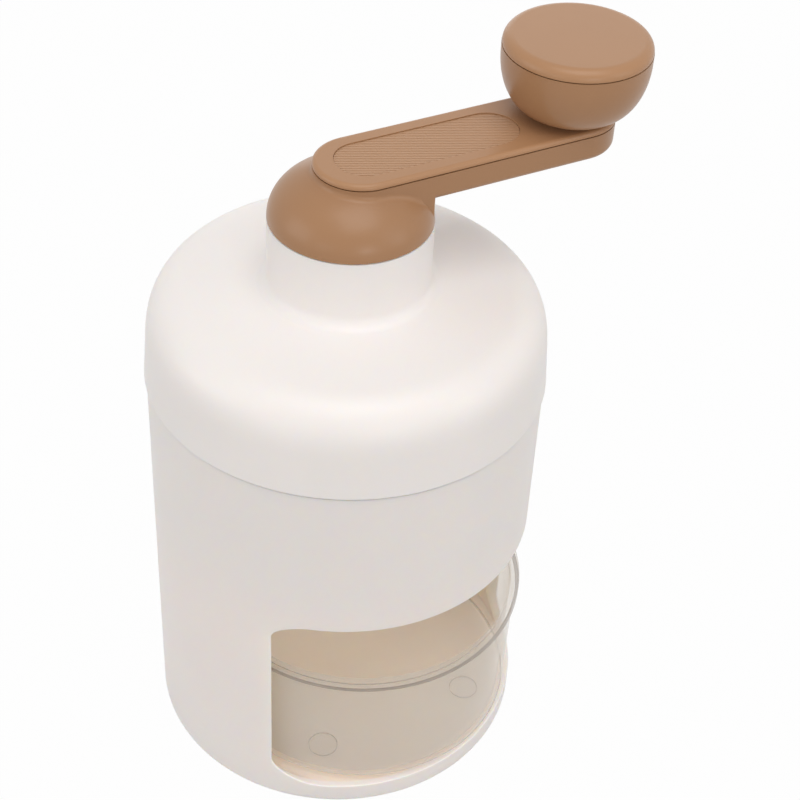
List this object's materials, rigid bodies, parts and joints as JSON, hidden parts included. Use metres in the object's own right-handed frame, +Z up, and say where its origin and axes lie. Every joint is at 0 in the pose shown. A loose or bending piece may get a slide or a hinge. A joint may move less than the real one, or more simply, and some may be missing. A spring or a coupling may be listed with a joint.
{
  "type": "hand-cranked ice shaver",
  "caption": "White round hand-cranked ice shaver with a brown crank and turning knob on a domed neck, and a clear round cup that slides out of a wide window in the housing.",
  "frame": {"origin": "centre of the non-slip pad's underside, on the axis of the round housing", "axes": "+Z up along the axis of the housing, the cranked shaft and the neck; -Y is the front, with the window of the cup; the crank's arm points to +X, turned 17.7 degrees towards the front, at rest"},
  "size_m": [0.1375, 0.1124, 0.2136],
  "materials": {
    "white_plastic": "satin moulded, warm white",
    "inner_plastic": "satin moulded",
    "brown_plastic": "satin moulded, caramel brown",
    "ribbed_plastic": "finely ribbed, caramel brown",
    "clear_plastic": "clear moulded plastic",
    "bearing_plastic": "self-lubricating plastic",
    "soft_pad": "soft silicone",
    "blade_steel": "ground stainless steel",
    "steel": "stainless steel",
    "spring_steel": "drawn stainless wire",
    "insert_brass": "turned brass"
  },
  "bodies": {
    "housing": {"main_housing": "white_plastic", "base_plate": "white_plastic", "base_screws": "steel", "base_pad": "soft_pad", "ice_chamber": "inner_plastic", "shaving_blade": "blade_steel", "blade_screws": "steel"},
    "cover": {"top_cover": "white_plastic", "cover_seal": "soft_pad", "upper_bush": "bearing_plastic", "lower_bush": "bearing_plastic"},
    "crank": {"arm_shell": "brown_plastic", "arm_cover": "brown_plastic", "arm_inlay": "ribbed_plastic", "arm_screws": "steel", "arm_insert": "insert_brass", "drive_shaft": "steel", "hub_washer": "bearing_plastic", "hub_screw": "steel", "hub_screw_washer": "steel", "thrust_washer": "bearing_plastic", "shaft_clip": "steel", "spring_seat": "steel", "presser_spring": "spring_steel", "end_washer": "steel", "end_screw": "steel", "knob_axle": "steel", "knob_washer": "steel", "knob_spacer": "bearing_plastic"},
    "presser": {"presser_plate": "inner_plastic", "presser_pins": "blade_steel"},
    "knob": {"knob_bowl": "brown_plastic", "knob_cap": "brown_plastic", "knob_bush": "bearing_plastic"},
    "cup": {"ice_cup": "clear_plastic"}
  },
  "joints": [
    {"name": "cover_lift", "type": "slide", "parent": "housing", "child": "cover", "axis": [0, 0, 1], "range_m": [0, 0.06]},
    {"name": "crank_turn", "type": "hinge", "parent": "cover", "child": "crank", "pos_m": [0, 0, 0.1748], "axis": [0, 0, 1], "continuous": true},
    {"name": "presser_slide", "type": "slide", "parent": "crank", "child": "presser", "axis": [0, 0, 1], "range_m": [0, 0.03], "stiffness_N_per_m": 150, "springref_m": -0.02, "deforming": ["presser_spring"]},
    {"name": "knob_spin", "type": "hinge", "parent": "crank", "child": "knob", "pos_m": [0.06192, -0.01976, 0.2], "axis": [0, 0, 1], "continuous": true},
    {"name": "cup_slide", "type": "slide", "parent": "housing", "child": "cup", "axis": [0, -1, 0], "range_m": [0, 0.1]}
  ]
}
